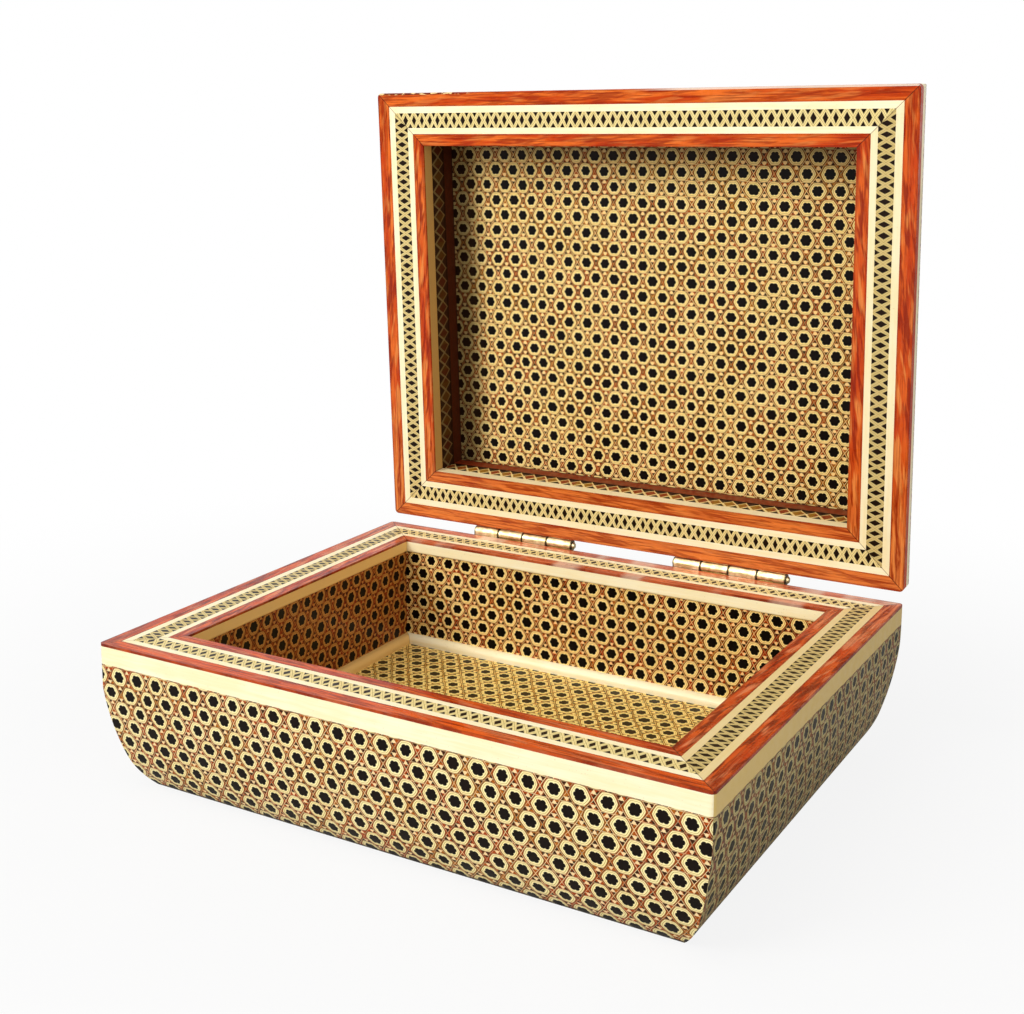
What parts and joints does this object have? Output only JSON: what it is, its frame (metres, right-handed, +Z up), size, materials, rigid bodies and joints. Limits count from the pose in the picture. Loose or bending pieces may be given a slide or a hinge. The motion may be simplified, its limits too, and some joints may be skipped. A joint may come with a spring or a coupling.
{
  "type": "keepsake box",
  "caption": "Shallow rectangular keepsake box with sides that curve in to the foot, geometric inlay all over, and a hinged lid that stands open.",
  "frame": {"origin": "centre of the base's flat underside", "axes": "+X along the front edge to the right as seen from the front, +Y to the hinged back, +Z up"},
  "size_m": [0.2, 0.1908, 0.2147],
  "materials": {
    "red_wood": "glossy lacquer",
    "bone": "polished, lacquered",
    "lattice_inlay": "glossy lacquer",
    "zigzag_inlay": "glossy lacquer",
    "wall_inlay": "glossy lacquer",
    "panel_inlay": "glossy lacquer",
    "core_wood": "satin",
    "brass": "worn bright"
  },
  "bodies": {
    "base": {"base_band": "bone", "base_hinge_screws": "brass", "base_inner_band": "bone", "base_lining_back": "wall_inlay", "base_lining_front": "wall_inlay", "base_lining_left": "wall_inlay", "base_lining_right": "wall_inlay", "base_rim_inner_line": "bone", "base_rim_inner_strip": "red_wood", "base_rim_lattice": "lattice_inlay", "base_rim_outer_line": "bone", "base_rim_outer_strip": "red_wood", "base_skirting": "bone", "base_veneer_back": "wall_inlay", "base_veneer_front": "wall_inlay", "base_veneer_left": "wall_inlay", "base_veneer_right": "wall_inlay", "base_wall_back": "core_wood", "base_wall_front": "core_wood", "base_wall_left": "core_wood", "base_wall_right": "core_wood", "bottom_board": "core_wood", "floor_panel": "panel_inlay", "hinge_left_base_leaf": "brass", "hinge_left_pin": "brass", "hinge_right_base_leaf": "brass", "hinge_right_pin": "brass"},
    "lid": {"hinge_left_lid_leaf": "brass", "hinge_right_lid_leaf": "brass", "lid_band": "bone", "lid_ceiling_panel": "panel_inlay", "lid_hinge_screws": "brass", "lid_inner_band": "bone", "lid_inner_bead": "red_wood", "lid_lining": "zigzag_inlay", "lid_rim_inner_line": "bone", "lid_rim_inner_strip": "red_wood", "lid_rim_lattice": "lattice_inlay", "lid_rim_outer_line": "bone", "lid_rim_outer_strip": "red_wood", "lid_top_board": "core_wood", "lid_top_line": "bone", "lid_top_panel": "wall_inlay", "lid_top_strip": "red_wood", "lid_veneer_back": "wall_inlay", "lid_veneer_front": "wall_inlay", "lid_veneer_left": "wall_inlay", "lid_veneer_right": "wall_inlay", "lid_wall_back": "core_wood", "lid_wall_front": "core_wood", "lid_wall_left": "core_wood", "lid_wall_right": "core_wood"}
  },
  "joints": [
    {"name": "lid_hinge", "type": "hinge", "parent": "base", "child": "lid", "pos_m": [0, 0.0843, 0.049], "axis": [1, 0, 0], "range_deg": [0, 87]}
  ]
}
